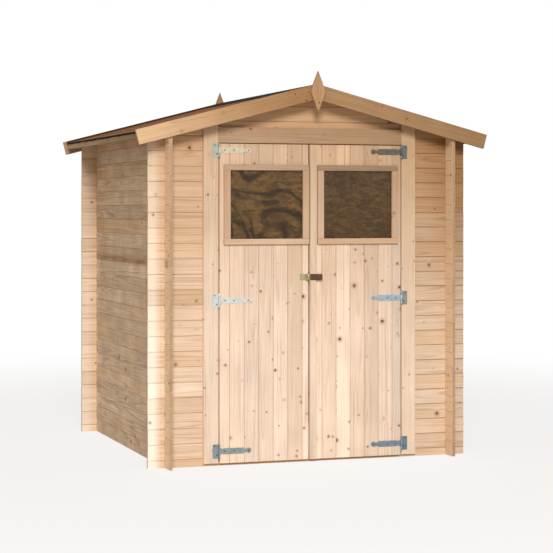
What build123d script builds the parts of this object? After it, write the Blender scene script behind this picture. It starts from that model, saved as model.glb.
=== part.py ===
from build123d import *
import os
from math import cos, radians, sin, tan

# Wooden garden shed of notched 19 mm logs, with an outward double door, in millimetres.
# Origin on the ground at the plan's centre. X runs to the right, Y to the back, so the doors face -Y.

# Log walls: outer faces on each side of the centre, and what the logs run on past each crossing
wall_half_x = 840.0
wall_half_y = 840.0
wall_thickness = 19.0
log_overhang = 95.0
log_height = 84.0
side_courses = 22
seam_width = 4.0
seam_depth = 2.0
log_half_x = wall_half_x + log_overhang
log_half_y = wall_half_y + log_overhang
half_log = log_height / 2
quarter_log = log_height / 4
side_wall_height = side_courses * log_height

# Roof: the verge boards' top edge is the plane that everything under it is measured down from
roof_pitch = 14.53
eave_reach = 145.0
verge_overrun = 27.0
verge_width = 82.5
verge_thickness = 18.0
verge_upstand = 12.0
felt_thickness = 3.0
felt_overhang = 5.0
ridge_cap_half = 80.0
deck_thickness = 16.0
eave_board_thickness = 18.0
eave_board_height = 36.0
purlin_width = 28.0
side_purlin_x = 480.0
side_purlin_height = 50.0
ridge_purlin_height = 58.0
roof_tan = tan(radians(roof_pitch))
roof_cos = cos(radians(roof_pitch))
roof_sin = sin(radians(roof_pitch))
deck_drop = verge_upstand + felt_thickness
rafter_drop = deck_drop + deck_thickness
deck_half = wall_half_x + eave_reach
eave_outer = deck_half + eave_board_thickness
roof_half = eave_outer + verge_overrun
ridge_height = side_wall_height + (wall_half_x - wall_thickness / 2) * roof_tan + rafter_drop / roof_cos

# Finials: a long diamond with its point above the ridge, the rear one nailed a little off the centre line
finial_rise = 69.0
finial_shoulder_drop = 43.0
finial_fall = 157.0
finial_half_width = 44.0
finial_thickness = 18.0
rear_finial_offset = 17.0

# Doorway: a rebated frame in the logs' opening, with trim boards on the wall's face round the doors
door_half = 536.0
door_gap = 5.0
post_cover = 36.0
frame_width = 30.0
frame_lip = 30.0
frame_inner_depth = 15.0
head_height = 66.0
head_cover = 23.0
trim_width = 85.0
trim_thickness = 19.0
head_board_width = 86.0
ground_clearance = 14.0
post_inner = door_half - post_cover
opening_half = post_inner + frame_width
gable_bottom = side_wall_height - half_log
head_bottom = gable_bottom - head_height
trim_inner = door_half + door_gap
frame_back = -wall_half_y + wall_thickness + frame_inner_depth

# Door leaves: upright boards in front of the frame, held by ledges at the back
door_thickness = 16.0
left_meeting = 19.5
strip_width = 36.0
strip_thickness = 16.0
door_board = 84.4
left_first_seam = 56.5
right_first_seam = 60.5
least_board = 30.0
ledge_height = 68.0
ledge_thickness = 16.0
ledge_margin = 12.0
frame_clearance = 8.0
right_meeting = door_gap + 0.5 - left_meeting
door_bottom = ground_clearance
door_top = head_bottom + head_cover
door_back = -wall_half_y - door_gap
door_face = door_back - door_thickness
strip_face = door_face - strip_thickness

# Windows: a pane let into each leaf, with a trim outside and beads inside
glass_drop = 145.0
glass_height = 377.0
glass_margin = 60.0
pane_thickness = 3.0
pane_cover = 8.0
window_trim_stile = 37.0
window_trim_rail = 31.0
window_trim_thickness = 16.0
strip_to_trim = 9.0
bead_width = 14.0
glass_top = door_top - glass_drop
glass_bottom = glass_top - glass_height

# T-hinges: an upright plate on the jamb trim, a strap across the boards, and a pin between them
hinge_bottom_inset = 66.0
hinge_top_inset = 36.0
knuckle_radius = 5.0
knuckle_standoff = 1.0
knuckle_gap = 0.6
pin_radius = 2.0
pin_clearance = 0.08
plate_height = 76.0
plate_width = 36.0
plate_thickness = 3.0
strap_thickness = 2.5
strap_root = 33.0
strap_nick = 12.0
strap_nick_depth = 4.0
strap_nick_width = 9.0
strap_taper = 4.0
strap_broad = 139.0
strap_waist = 19.0
strap_length = 170.0
strap_pad_radius = 14.5
pin_x = door_half + door_gap / 2
pin_y = door_face - knuckle_radius - knuckle_standoff
low_hinge = door_bottom + hinge_bottom_inset
top_hinge = door_top - hinge_top_inset
hinge_heights = [low_hinge, (low_hinge + top_hinge) / 2, top_hinge]

# Hasp: a cranked plate and knuckle on the left leaf, and a flap over a staple on the right leaf
hasp_rise = 1013.0
hasp_band = 34.0
hasp_thickness = 2.5
hasp_plate_length = 50.0
hasp_knuckle_radius = 4.5
hasp_knuckle_inset = 1.0
hasp_crank = 9.0
hasp_flap_length = 71.0
hasp_corner = 8.0
slot_clearance = 1.5
staple_inset = 23.0
staple_width = 5.0
staple_span = 19.0
staple_reach = 16.0
hasp_height = door_bottom + hasp_rise


def box(x, y, z):
    """A solid between two corners, given as a (low, high) pair along each axis."""
    size = [high - low for low, high in (x, y, z)]
    centre = [(high + low) / 2 for low, high in (x, y, z)]
    return Pos(*centre) * Box(*size)


def prism_x(points, x):
    """An outline in Y and Z, run along X between two planes."""
    outline = Wire.make_polygon([(x[0], py, pz) for py, pz in points], close=True)
    return extrude(Face(outline), amount=x[1] - x[0], dir=(1, 0, 0))


def prism_y(points, y):
    """An outline in X and Z, run along Y between two planes."""
    outline = Wire.make_polygon([(px, y[0], pz) for px, pz in points], close=True)
    return extrude(Face(outline), amount=y[1] - y[0], dir=(0, 1, 0))


def prism_z(points, z):
    """An outline in X and Y, run upwards between two heights."""
    outline = Wire.make_polygon([(px, py, z[0]) for px, py in points], close=True)
    return extrude(Face(outline), amount=z[1] - z[0], dir=(0, 0, 1))


def mirrored(solid):
    """The same piece on the other side of the centre line."""
    return mirror(solid, about=Plane.YZ)


def at_rear(solid):
    """The same piece at the back of the shed."""
    return mirror(solid, about=Plane.XZ)


def roof_height(x, drop):
    """Height of the plane that lies drop below the verge boards' top edge, square to the slope."""
    return ridge_height - abs(x) * roof_tan - drop / roof_cos


def grooved_edge(low, high, seams, face, depth):
    """The outline of a boarded face from low to high, with a V cut depth deep at every seam."""
    edge = [(low, face)]
    for seam in seams:
        if low + seam_width / 2 < seam < high - seam_width / 2:
            edge += [(seam - seam_width / 2, face), (seam, face + depth), (seam + seam_width / 2, face)]
    return edge + [(high, face)]


def log_wall(face, x, z, first_seam):
    """Logs along X behind the plane Y = -face, between two ends and two heights."""
    seams = [first_seam + log_height * i for i in range(side_courses + 6)]
    outer = grooved_edge(z[0], z[1], seams, -face, seam_depth)
    inner = wall_thickness - face
    return prism_x([(py, pz) for pz, py in outer] + [(inner, z[1]), (inner, z[0])], x)


def crossing_cuts(face, crossing, first_cut):
    """What the crossing walls' logs take out of a wall at both corners, one cut to each log."""
    cuts = []
    for i in range(side_courses + 1):
        bottom = first_cut + log_height * i
        for side in (-1, 1):
            x = sorted((side * (crossing - wall_thickness), side * crossing))
            cuts.append(box(x, (-face, wall_thickness - face), (bottom, bottom + half_log)))
    return cuts


def under_roof():
    """All the space under the deck, which cuts the walls' tops to the roof's slope."""
    reach_x = roof_half + log_overhang
    reach_y = log_half_y + log_overhang
    eave = roof_height(reach_x, rafter_drop)
    points = [(-reach_x, -1), (reach_x, -1), (reach_x, eave), (0, roof_height(0, rafter_drop)), (-reach_x, eave)]
    return prism_y(points, (-reach_y, reach_y))


def purlins():
    """Ridge, left and right purlin, with their tops cut to the slope they carry."""
    ends = (-log_half_y, log_half_y)
    half = purlin_width / 2
    bottom = roof_height(0, rafter_drop) - ridge_purlin_height
    points = [(-half, bottom), (half, bottom), (half, roof_height(half, rafter_drop))]
    points += [(0, roof_height(0, rafter_drop)), (-half, roof_height(half, rafter_drop))]
    ridge = prism_y(points, ends)
    low, high = side_purlin_x - half, side_purlin_x + half
    foot = roof_height(side_purlin_x, rafter_drop) - side_purlin_height
    points = [(low, foot), (high, foot), (high, roof_height(high, rafter_drop)), (low, roof_height(low, rafter_drop))]
    right = prism_y(points, ends)
    return ridge, mirrored(right), right


def slope_slab(x, y, top_drop, bottom_drop):
    """A sheet on the right slope, between two distances from the ridge and two depths."""
    points = [(x[0], roof_height(x[0], top_drop)), (x[1], roof_height(x[1], top_drop))]
    points += [(x[1], roof_height(x[1], bottom_drop)), (x[0], roof_height(x[0], bottom_drop))]
    return prism_y(points, y)


def roof_felt():
    """The right slope's felt, turned up against the verge boards at both ends."""
    x = (0, eave_outer + felt_overhang)
    sheet = slope_slab(x, (-log_half_y, log_half_y), verge_upstand, deck_drop)
    for side in (-1, 1):
        y = sorted((side * log_half_y, side * (log_half_y - felt_thickness)))
        sheet += slope_slab(x, y, 0, deck_drop)
    return sheet


def ridge_cap():
    """A strip of felt folded over the ridge, between the sheets' turned-up edges."""
    top = verge_upstand - felt_thickness
    upper = [(-ridge_cap_half, top), (0, top), (ridge_cap_half, top)]
    lower = [(ridge_cap_half, verge_upstand), (0, verge_upstand), (-ridge_cap_half, verge_upstand)]
    reach = log_half_y - felt_thickness
    return prism_y([(px, roof_height(px, drop)) for px, drop in upper + lower], (-reach, reach))


def verge_board():
    """The front right verge board, cut square at its foot and plumb at the ridge."""
    foot = (roof_half, roof_height(roof_half, 0))
    heel = (foot[0] - verge_width * roof_sin, foot[1] - verge_width * roof_cos)
    points = [(0, roof_height(0, 0)), foot, heel, (0, roof_height(0, verge_width))]
    return prism_y(points, (-log_half_y - verge_thickness, -log_half_y))


def finial():
    """The front finial, a long diamond over the joint of the verge boards."""
    shoulder = ridge_height - finial_shoulder_drop
    points = [(0, ridge_height + finial_rise), (finial_half_width, shoulder)]
    points += [(0, ridge_height - finial_fall), (-finial_half_width, shoulder)]
    front = -log_half_y - verge_thickness
    return prism_y(points, (front - finial_thickness, front))


def eave_board():
    """The right eave board, which closes the deck's edge between the verge boards."""
    top = [(eave_outer, roof_height(eave_outer, deck_drop)), (deck_half, roof_height(deck_half, deck_drop))]
    foot = top[0][1] - eave_board_height
    return prism_y([(deck_half, foot), (eave_outer, foot)] + top, (-log_half_y, log_half_y))


def door_post():
    """The right post: it fills the opening's side and laps behind the logs."""
    lap = opening_half + frame_lip
    logs_back = wall_thickness - wall_half_y
    points = [(post_inner, -wall_half_y), (opening_half, -wall_half_y), (opening_half, logs_back)]
    points += [(lap, logs_back), (lap, frame_back), (post_inner, frame_back)]
    return prism_z(points, (0, gable_bottom))


def window_frame(glass, z, width, rail, y):
    """A frame round an opening: its width beside it, its rail above and below it."""
    outer = box((glass[0] - width, glass[1] + width), y, (z[0] - rail, z[1] + rail))
    return outer - box(glass, (y[0] - 1, y[1] + 1), z)


def door_leaf(meeting, first_seam, clear_edge):
    """One leaf's pieces, on the right of the centre line, with its window from clear_edge outwards."""
    count = int((door_half - least_board - first_seam) // door_board) + 1
    seams = [first_seam + door_board * i for i in range(count)]
    face = grooved_edge(meeting, door_half, seams, door_face, seam_depth)
    back = grooved_edge(meeting, door_half, seams, door_back, -seam_depth)
    boards = prism_z(face + back[::-1], (door_bottom, door_top))
    glass = (clear_edge + window_trim_stile, door_half - glass_margin)
    glass_z = (glass_bottom, glass_top)
    hole = (glass[0] - pane_cover, glass[1] + pane_cover)
    hole_z = (glass_bottom - pane_cover, glass_top + pane_cover)
    boards -= box(hole, (door_face - 1, door_back + 1), hole_z)
    pane_back = door_face + pane_thickness
    trim_y = (door_face - window_trim_thickness, door_face)
    sight = (hole[0] + bead_width, hole[1] - bead_width)
    sight_z = (hole_z[0] + bead_width, hole_z[1] - bead_width)
    ledge_x = (max(meeting, 0) + ledge_margin, post_inner - ledge_margin)
    ledge_y = (door_back, door_back + ledge_thickness)
    bottoms = [half_log + frame_clearance, hinge_heights[1] - ledge_height / 2]
    bottoms.append(head_bottom - frame_clearance - ledge_height)
    return {
        "boards": boards,
        "ledges": Compound([box(ledge_x, ledge_y, (low, low + ledge_height)) for low in bottoms]),
        "pane": box(hole, (door_face, pane_back), hole_z),
        "window_trim": window_frame(glass, glass_z, window_trim_stile, window_trim_rail, trim_y),
        "window_bead": window_frame(sight, sight_z, bead_width, bead_width, (pane_back, door_back)),
    }


def hinge_plate(height):
    """A right hinge plate with its two outer knuckles and the pin."""
    face = -wall_half_y - trim_thickness
    half = plate_height / 2
    root = strap_root / 2 + knuckle_gap
    plate = box((pin_x + knuckle_radius, pin_x + plate_width), (face - plate_thickness, face), (height - half, height + half))
    for low, high in ((height - half, height - root), (height + root, height + half)):
        plate += Pos(pin_x, pin_y, (low + high) / 2) * Cylinder(knuckle_radius, high - low)
        curl = (pin_x + knuckle_radius / 2, pin_x + knuckle_radius + knuckle_standoff)
        plate += box(curl, (pin_y, face), (low, high))
    return plate + Pos(pin_x, pin_y, height) * Cylinder(pin_radius, plate_height)


def hinge_strap(height):
    """A right hinge strap: a broad leaf with a nick at its root, then a short waist and a round pad at its tip."""
    half = strap_root / 2
    start = pin_x - knuckle_radius / 2
    nick = start - strap_nick
    nick_end = nick - strap_nick_width
    broad_end = pin_x - strap_broad
    tip = pin_x - strap_length
    edge = [(start, half), (nick, half), (nick, half - strap_nick_depth), (nick_end, half - strap_nick_depth)]
    edge += [(nick_end, half), (broad_end, half), (broad_end - strap_taper, strap_waist / 2), (tip, strap_waist / 2)]
    points = [(px, height + rise) for px, rise in edge] + [(px, height - rise) for px, rise in edge[::-1]]
    strap = prism_y(points, (door_face - strap_thickness, door_face))
    pad = Pos(tip, door_face - strap_thickness / 2, height) * Rot(90, 0, 0)
    strap += pad * Cylinder(strap_pad_radius, strap_thickness)
    strap += box((pin_x - knuckle_radius, start), (pin_y, door_face), (height - half, height + half))
    strap += Pos(pin_x, pin_y, height) * Cylinder(knuckle_radius, strap_root)
    return strap - Pos(pin_x, pin_y, height) * Cylinder(pin_radius + pin_clearance, plate_height)


def hasp_plate():
    """The hasp's left part: a plate on the leaf, cranked forward to its knuckle."""
    knuckle_x = -left_meeting - hasp_knuckle_radius - hasp_knuckle_inset
    knuckle_y = strip_face - hasp_thickness / 2
    end = -left_meeting - hasp_plate_length
    bend = knuckle_x - hasp_knuckle_radius
    foot = bend - hasp_crank
    back = [(end, door_face), (foot + hasp_thickness, door_face)]
    back += [(bend + hasp_thickness, knuckle_y), (knuckle_x, knuckle_y)]
    front = [(knuckle_x, knuckle_y - hasp_thickness), (bend, knuckle_y - hasp_thickness)]
    front += [(foot, door_face - hasp_thickness), (end, door_face - hasp_thickness)]
    plate = prism_z(back + front, (hasp_height - hasp_band / 2, hasp_height + hasp_band / 2))
    return plate + Pos(knuckle_x, knuckle_y, hasp_height) * Cylinder(hasp_knuckle_radius, hasp_band)


def hasp_flap():
    """The hasp's flap: it lies on the meeting strip, round at its end and slotted for the staple."""
    half = hasp_band / 2
    end = right_meeting + hasp_flap_length
    y = (strip_face - hasp_thickness, strip_face)
    flap = box((right_meeting, end - hasp_corner), y, (hasp_height - half, hasp_height + half))
    inner = half - hasp_corner
    flap += box((right_meeting, end), y, (hasp_height - inner, hasp_height + inner))
    for rise in (-inner, inner):
        corner = Pos(end - hasp_corner, (y[0] + y[1]) / 2, hasp_height + rise) * Rot(90, 0, 0)
        flap += corner * Cylinder(hasp_corner, hasp_thickness)
    staple_x = end - staple_inset
    slot = (staple_x - staple_width / 2 - slot_clearance, staple_x + staple_width / 2 + slot_clearance)
    reach = staple_span / 2 + slot_clearance
    return flap - box(slot, (y[0] - 1, y[1] + 1), (hasp_height - reach, hasp_height + reach))


def staple():
    """The staple: a flat-sided bow that stands out of the right leaf through the flap."""
    x = right_meeting + hasp_flap_length - staple_inset
    outer = staple_span / 2
    inner = outer - staple_width
    crown = strip_face - staple_reach + outer
    ring = Pos(x, crown, hasp_height) * Rot(0, 90, 0) * (Cylinder(outer, staple_width) - Cylinder(inner, staple_width))
    half_x = staple_width / 2
    bow = ring & box((x - half_x, x + half_x), (crown - outer, crown), (hasp_height - outer, hasp_height + outer))
    for side in (-1, 1):
        z = sorted((hasp_height + side * inner, hasp_height + side * outer))
        bow += box((x - half_x, x + half_x), (crown, door_face), z)
    return bow


os.makedirs("parts", exist_ok=True)
nodes = {}

# Purlins, which pass through notches in both gables
ridge, left_purlin, right_purlin = purlins()
nodes["ridge_purlin"] = ridge
nodes["left_purlin"] = left_purlin
nodes["right_purlin"] = right_purlin

# Front and rear walls start with half a log, the side walls with a whole one, so they lock at the corners
roof_space = under_roof()
front_cuts = crossing_cuts(wall_half_y, wall_half_x, quarter_log)
side_cuts = crossing_cuts(wall_half_x, wall_half_y, -quarter_log)
across = (-log_half_x, log_half_x)
gable = (log_wall(wall_half_y, across, (gable_bottom, ridge_height), half_log) - front_cuts) & roof_space
nodes["front_gable"] = gable - [ridge, left_purlin, right_purlin]
rear = (log_wall(wall_half_y, across, (0, ridge_height), half_log) - front_cuts) & roof_space
nodes["rear_wall"] = at_rear(rear - [ridge, left_purlin, right_purlin])
nodes["front_wall_right"] = log_wall(wall_half_y, (opening_half, log_half_x), (0, gable_bottom), half_log) - front_cuts
nodes["front_wall_left"] = mirrored(nodes["front_wall_right"])
side = log_wall(wall_half_x, (-log_half_y, log_half_y), (0, ridge_height), log_height) - side_cuts
nodes["right_wall"] = (Rot(0, 0, 90) * side) & roof_space
nodes["left_wall"] = mirrored(nodes["right_wall"])

# Doorway
nodes["door_post_right"] = door_post()
nodes["door_post_left"] = mirrored(nodes["door_post_right"])
frame_y = (-wall_half_y, frame_back)
nodes["door_head"] = box((-post_inner, post_inner), frame_y, (head_bottom, gable_bottom))
nodes["threshold"] = box((-post_inner, post_inner), frame_y, (0, half_log))
trim_y = (-wall_half_y - trim_thickness, -wall_half_y)
jamb = box((trim_inner, trim_inner + trim_width), trim_y, (ground_clearance, ridge_height)) & roof_space
nodes["jamb_trim_right"] = jamb
nodes["jamb_trim_left"] = mirrored(jamb)
head_board_bottom = door_top + door_gap
nodes["head_board"] = box((-trim_inner, trim_inner), trim_y, (head_board_bottom, head_board_bottom + head_board_width))

# Roof
slope = {
    "roof_deck": slope_slab((0, deck_half), (-log_half_y, log_half_y), deck_drop, rafter_drop),
    "roof_felt": roof_felt(),
    "eave_board": eave_board(),
    "front_verge": verge_board(),
    "rear_verge": at_rear(verge_board()),
}
for name, solid in slope.items():
    nodes[name + "_right"] = solid
    nodes[name + "_left"] = mirrored(solid)
nodes["ridge_felt_cap"] = ridge_cap()
nodes["finial_front"] = finial()
nodes["finial_rear"] = Pos(rear_finial_offset, 0, 0) * at_rear(finial())

# Door leaves: the meeting strip is on the right leaf and stops short of the left one
strip_end = right_meeting + strip_width
for name, solid in door_leaf(right_meeting, right_first_seam, strip_end + strip_to_trim).items():
    nodes["right_door_" + name] = solid
for name, solid in door_leaf(left_meeting, left_first_seam, left_meeting).items():
    nodes["left_door_" + name] = mirrored(solid)
nodes["right_door_meeting_strip"] = box((right_meeting, strip_end), (strip_face, door_face), (door_bottom, door_top))

# Ironmongery
plates = Compound([hinge_plate(height) for height in hinge_heights])
straps = Compound([hinge_strap(height) for height in hinge_heights])
nodes["hinge_plates_right"] = plates
nodes["hinge_plates_left"] = mirrored(plates)
nodes["right_door_hinge_straps"] = straps
nodes["left_door_hinge_straps"] = mirrored(straps)
nodes["left_door_hasp_plate"] = hasp_plate()
nodes["right_door_hasp_flap"] = hasp_flap()
nodes["right_door_hasp_staple"] = staple()

for name, solid in nodes.items():
    export_step(solid, "parts/" + name + ".step")
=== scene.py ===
import math
import random

import bpy
from mathutils import Matrix, Vector


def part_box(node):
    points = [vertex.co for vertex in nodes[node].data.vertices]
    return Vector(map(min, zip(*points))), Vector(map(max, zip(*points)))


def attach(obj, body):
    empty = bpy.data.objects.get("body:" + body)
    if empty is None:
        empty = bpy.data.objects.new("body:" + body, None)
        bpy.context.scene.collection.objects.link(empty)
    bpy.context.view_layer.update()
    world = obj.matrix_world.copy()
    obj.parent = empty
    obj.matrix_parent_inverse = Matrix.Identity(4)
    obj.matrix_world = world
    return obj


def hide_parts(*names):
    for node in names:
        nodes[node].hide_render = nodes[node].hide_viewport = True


# Wooden garden shed of notched spruce logs: boards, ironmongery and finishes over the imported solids
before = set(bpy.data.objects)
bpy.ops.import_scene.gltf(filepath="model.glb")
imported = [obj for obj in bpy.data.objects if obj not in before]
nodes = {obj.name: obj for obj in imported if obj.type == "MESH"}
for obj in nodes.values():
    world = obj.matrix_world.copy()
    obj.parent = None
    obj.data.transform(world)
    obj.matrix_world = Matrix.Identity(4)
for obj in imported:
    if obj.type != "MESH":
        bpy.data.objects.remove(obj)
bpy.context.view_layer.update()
rng = random.Random(1903)

mm = 0.001
axisX, axisY, axisZ = Vector((1, 0, 0)), Vector((0, 1, 0)), Vector((0, 0, 1))
facingDoors = (math.radians(90), 0, 0)   # stands a flat primitive up, to face as the doors do
sharp = math.radians(60)                 # only edges sharper than this are eased on logs and door boards


# Working helpers

def pick(piece):
    bpy.ops.object.select_all(action="DESELECT")
    piece.select_set(True)
    bpy.context.view_layer.objects.active = piece


def settle(piece):  # the place goes into the mesh
    pick(piece)
    bpy.ops.object.transform_apply(location=True, rotation=True, scale=True)


def finishWith(piece, kind, **settings):
    modifier = piece.modifiers.new(kind.lower(), kind)
    for key, value in settings.items():
        setattr(modifier, key, value)
    pick(piece)
    bpy.ops.object.modifier_apply(modifier=modifier.name)


def ease(piece, width, segments=2, **limit):
    finishWith(piece, "BEVEL", width=width, segments=segments, limit_method="ANGLE", **limit)


def block(low, high, tilt=0.0, pivot=None):  # a primitive between two corners, tilted about Y at a pivot
    low, high = Vector(low), Vector(high)
    bpy.ops.mesh.primitive_cube_add(size=1, location=(low + high) / 2, scale=high - low)
    piece = bpy.context.active_object
    settle(piece)
    if tilt:
        about = Matrix.Translation(pivot)
        piece.matrix_world = about @ Matrix.Rotation(tilt, 4, "Y") @ about.inverted()
        settle(piece)
    return piece


def copyTo(piece, place=(0, 0, 0), turnZ=0.0):
    pick(piece)
    bpy.ops.object.duplicate(linked=False)
    twin = bpy.context.active_object
    twin.rotation_euler = (0, 0, turnZ)
    twin.location = place
    settle(twin)
    return twin


def cutAway(piece, point, normal):  # what lies on the normal's side goes, and the cut is closed
    pick(piece)
    bpy.ops.object.mode_set(mode="EDIT")
    bpy.ops.mesh.select_all(action="SELECT")
    bpy.ops.mesh.bisect(plane_co=point, plane_no=normal, use_fill=True, clear_outer=True)
    bpy.ops.object.mode_set(mode="OBJECT")


def scrap(*pieces):
    for piece in pieces:
        bpy.data.objects.remove(piece, do_unlink=True)


def carve(piece, cutter, spent=False):
    finishWith(piece, "BOOLEAN", operation="DIFFERENCE", object=cutter, solver="EXACT")
    if spent:
        scrap(cutter)


def bevelEdges(piece, test, width, segments=1):  # test says which edges, by their two ends
    mesh = piece.data
    for polygon in mesh.polygons:
        polygon.select = False
    for vertex in mesh.vertices:
        vertex.select = False
    for edge in mesh.edges:
        a, b = (mesh.vertices[i].co for i in edge.vertices)
        edge.select = test(a, b)
    pick(piece)
    bpy.context.tool_settings.mesh_select_mode = (False, True, False)
    bpy.ops.object.mode_set(mode="EDIT")
    bpy.ops.mesh.bevel(offset=width, segments=segments, affect="EDGES")
    bpy.ops.object.mode_set(mode="OBJECT")


sawing = {
    "start": 60.0,             # metres of log that a board's place is chosen from
    "pithSide": 35 * mm,       # how far to either side of a board its unseen pith may lie
    "pithDeep": (0.03, 0.10),  # and how far behind or before it
    "lean": 0.016,             # drift of the pith across the board, for each metre along
    "lot": 0.5,                # spread of the boards' tone and warmth
    "fadeWarmth": -0.6,        # a tone that fades along a board takes this share of warmth with it
    "endFacing": 0.8,          # faces that look along the grain more than this are sawn ends
    "slopeFacing": 0.3,        # faces that look both across and deep more than this are slopes of a joint
}


def layGrain(piece, along, across, tone=0.0, spread=1.0, fade=0.0, jointShade=0.1):
    # Each board is sawn from its own place in a log: grain runs along it, and the rings lie round the pith
    mesh = piece.data
    centre = sum((v.co for v in mesh.vertices), Vector()) / len(mesh.vertices)
    depth = along.cross(across)
    sawnEnd = mesh.attributes.new("sawnEnd", "FLOAT", "FACE")
    joint = mesh.attributes.new("joint", "FLOAT", "FACE")  # painted shade on the slopes of the V joints
    ends, slopes = [], []
    for face in mesh.polygons:
        ends.append(float(abs(face.normal.dot(along)) > sawing["endFacing"]))
        both = min(abs(face.normal.dot(across)), abs(face.normal.dot(depth)))
        slopes.append(jointShade * (both > sawing["slopeFacing"]))
    sawnEnd.data.foreach_set("value", ends)
    joint.data.foreach_set("value", slopes)
    start = rng.uniform(0, sawing["start"])
    side = rng.uniform(-sawing["pithSide"], sawing["pithSide"])
    deep = rng.uniform(*sawing["pithDeep"]) * rng.choice((-1, 1))
    lean = rng.uniform(-sawing["lean"], sawing["lean"])
    board = [tone + spread * rng.gauss(0, sawing["lot"]), rng.gauss(0, sawing["lot"]), rng.random()]
    grain = mesh.attributes.new("grain", "FLOAT_VECTOR", "POINT")
    marks = mesh.attributes.new("board", "FLOAT_VECTOR", "POINT")
    values, tones = [], []
    reach = max(abs((vertex.co - centre).dot(along)) for vertex in mesh.vertices)
    for vertex in mesh.vertices:
        place = vertex.co - centre
        run = place.dot(along)
        values += [run + start, place.dot(across) - side, place.dot(depth) + deep + lean * run]
        faded = fade * run / reach
        tones += [board[0] + faded, board[1] + sawing["fadeWarmth"] * faded, board[2]]
    grain.data.foreach_set("vector", values)
    marks.data.foreach_set("vector", tones)
    return piece


def join(name, parts, body, material, replaced=()):
    bpy.ops.object.select_all(action="DESELECT")
    for part in parts:
        part.select_set(True)
    bpy.context.view_layer.objects.active = parts[0]
    if len(parts) > 1:
        bpy.ops.object.join()
    piece = bpy.context.active_object
    piece.name = name
    piece.data.name = name
    piece.data.materials.clear()
    piece.data.materials.append(material)
    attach(piece, body)
    if replaced:
        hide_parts(*replaced)


def dressNode(name, material):
    nodes[name].data.materials.clear()
    nodes[name].data.materials.append(material)


# Materials

def linear(code):  # an sRGB hex value as linear colour
    parts = [int(code[i:i + 2], 16) / 255 for i in (1, 3, 5)]
    return [p / 12.92 if p <= 0.04045 else ((p + 0.055) / 1.055) ** 2.4 for p in parts] + [1.0]


def addNode(tree, kind, inputs=None, **settings):
    node = tree.nodes.new("ShaderNode" + kind)
    for key, value in settings.items():
        setattr(node, key, value)
    for socket, value in (inputs or {}).items():
        if isinstance(value, bpy.types.NodeSocket):
            tree.links.new(value, node.inputs[socket])
        else:
            node.inputs[socket].default_value = value
    return node


def newMaterial(name, settings):
    material = bpy.data.materials.new(name)
    material.use_nodes = True
    tree = material.node_tree
    tree.nodes.clear()
    surface = addNode(tree, "BsdfPrincipled", settings)
    addNode(tree, "OutputMaterial", {"Surface": surface.outputs[0]})
    return material, tree, surface


def ramp(node, stops):
    elements = node.color_ramp.elements
    while len(elements) > len(stops):
        elements.remove(elements[-1])
    while len(elements) < len(stops):
        elements.new(1.0)
    for element, (place, colour) in zip(elements, stops):
        element.position = place
        element.color = linear(colour) if isinstance(colour, str) else (colour, colour, colour, 1.0)
    return node


spruceLook = {
    "ringWidth": 5.2 * mm,                  # one year's growth, coarser than real so that it shows
    "ringWander": 16 * mm,                  # how far slow noise pushes the rings out of round
    "ringProfile": [(0.0, 0.12), (0.5, 0.25), (0.84, 1.0), (1.0, 0.12)],
    "ringClear": (0.3, 0.75, 0.45, 1.15),   # the rings show more in some places than in others
    "knotSpacing": (150 * mm, 75 * mm),     # large knots, then pin knots
    "knotRadius": (7.5 * mm, 4.2 * mm),
    "knotPush": (9 * mm, 2.5 * mm),         # how far a knot pushes the rings round it
    "knotNear": (0.0, 3.4, 1.0, 0.0),       # in knot radii
    "knotRagged": (0.25, 0.75, -0.45, 0.45),
    "knotShades": ((0.9, 2.8, 0.65, "#AF7C54"), (0.6, 1.1, 1.0, "#4A2D1A")),   # the rim, then the core
    "resin": "#C28E5E",
    "resinShare": (0.64, 0.76, 0.0, 0.55),
    "fibreShare": (0.35, 0.7, 0.0, 0.18),
    "boardWarmth": 0.34,                    # how far each board's own lot moves its hue, and its brightness
    "boardTone": 0.11,
    "endShare": 0.62,
    # painted shade in the V joints
    "jointShadeTone": "#7A5536",
    "pithPlace": (3.1, 0.043, 0.071),       # for the solids that keep their own shape
    "plainBoard": {"X": -0.4, "Y": 0.1, "Z": 0.5},
    "specular": 0.12,
    "relief": 0.4 * mm,
}
drawnNoises = {   # how fine along and across the grain, then detail and roughness
    "slow": ((1.3, 14.0, 14.0), 2.0, 0.5),
    "streak": ((1.7, 1 / (9 * mm), 1 / (9 * mm)), 4.0, 0.6),
    "fibre": ((6.0, 1 / (1.6 * mm), 1 / (1.6 * mm)), 3.0, 0.5),
    "resin": ((0.9, 85.0, 85.0), 2.0, 0.5),
}
paintedLight = {   # painted light and shade over the wood: a tint, how it is laid on, and its ramps: 0, 1 and 2 read X, Y and Z, 3 the sawn ends
    "sideways": (0, -0.95, 0.95, 1.03, 0.92),   # a tone alone: painted shade, a little darker to the right, away from the lamp
    "paintedCornerLight": ("#FDF6E8", "MIX",              # painted light: log ends at the left corners paled as if lit, most at the front and low down
                 ((0, -0.9, -0.86, 1.0, 0.0), (2, 0.3, 1.8, 1.0, 0.6), (1, -0.9, 0.9, 1.0, 0.35))),
    "high": ("#D4C4AE", "MULTIPLY",             # painted shade: darker and warmer towards the roof
             ((2, 0.7, 1.95, 0.0, 1.0), (0, -0.9, 0.9, 0.8, 1.3))),
    "farRight": ("#CFBEA8", "MULTIPLY",         # painted shade, more so towards the roof's right corner
                 ((0, 0.45, 0.9, 0.0, 1.0), (2, 0.7, 1.95, 0.0, 1.0), (0, -0.9, 0.9, 0.8, 1.3))),
    "stubs": ("#F2D4B2", "MIX",                 # painted light: side logs past the front wall paled as if lit, but for their sawn ends
              ((1, -0.85, -0.83, 1.0, 0.0), (3, 0.0, 1.0, 1.0, 0.0))),
}
stainLook = {
    "tone": "#84562F",
    "fade": (8 * mm, 34 * mm, 1.0, 0.0),   # from the streak's middle line
    "end": 0.92,
}


def span(limits):  # the four limits of a Map Range node, as its inputs
    return dict(enumerate(limits, 1))


# Lays one entry of painted light and shade over the wood, as its ramps say
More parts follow.
